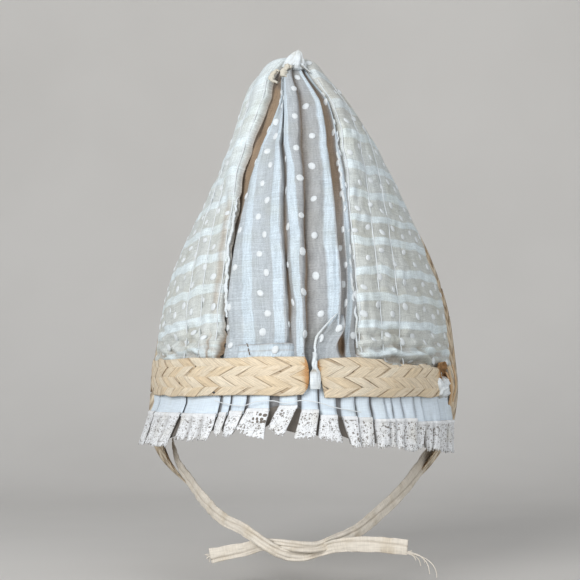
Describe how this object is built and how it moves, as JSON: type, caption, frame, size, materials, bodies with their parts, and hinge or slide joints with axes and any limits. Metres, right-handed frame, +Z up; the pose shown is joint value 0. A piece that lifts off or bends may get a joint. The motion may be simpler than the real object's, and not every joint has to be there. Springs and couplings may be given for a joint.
{
  "type": "doll's poke bonnet",
  "caption": "Tall pointed doll's bonnet: straw brim under striped dotted sheer cloth, pleated crown gathered to a knot, straw plait band, lace-edged neck curtain and tape ties.",
  "frame": {"origin": "middle of the head's hollow, level with the lower edge of the plait band, where the bonnet sits on a head", "axes": "+Z up towards the peak, +Y the way the wearer looks, so the crown's back faces -Y, and +X is the wearer's right"},
  "size_m": [0.1235, 0.088, 0.1868],
  "materials": {
    "sheer_cloth": "thin white muslin with woven stripes and raised dots, aged",
    "straw": "dry plaited straw, slightly glossy on the strands",
    "cotton": "plain white cotton, matt",
    "lace": "cotton bobbin lace with a picot edge",
    "tape": "soft cotton tape, aged, with frayed ends"
  },
  "bodies": {
    "root": {"straw_brim": "straw", "brim_cover": "sheer_cloth", "crown": "sheer_cloth", "peak_knot": "sheer_cloth", "band_left": "straw", "band_right": "straw", "centre_tab": "cotton", "neck_curtain": "cotton", "lace": "lace", "tie_left": "tape", "tie_right": "tape"}
  },
  "joints": []
}
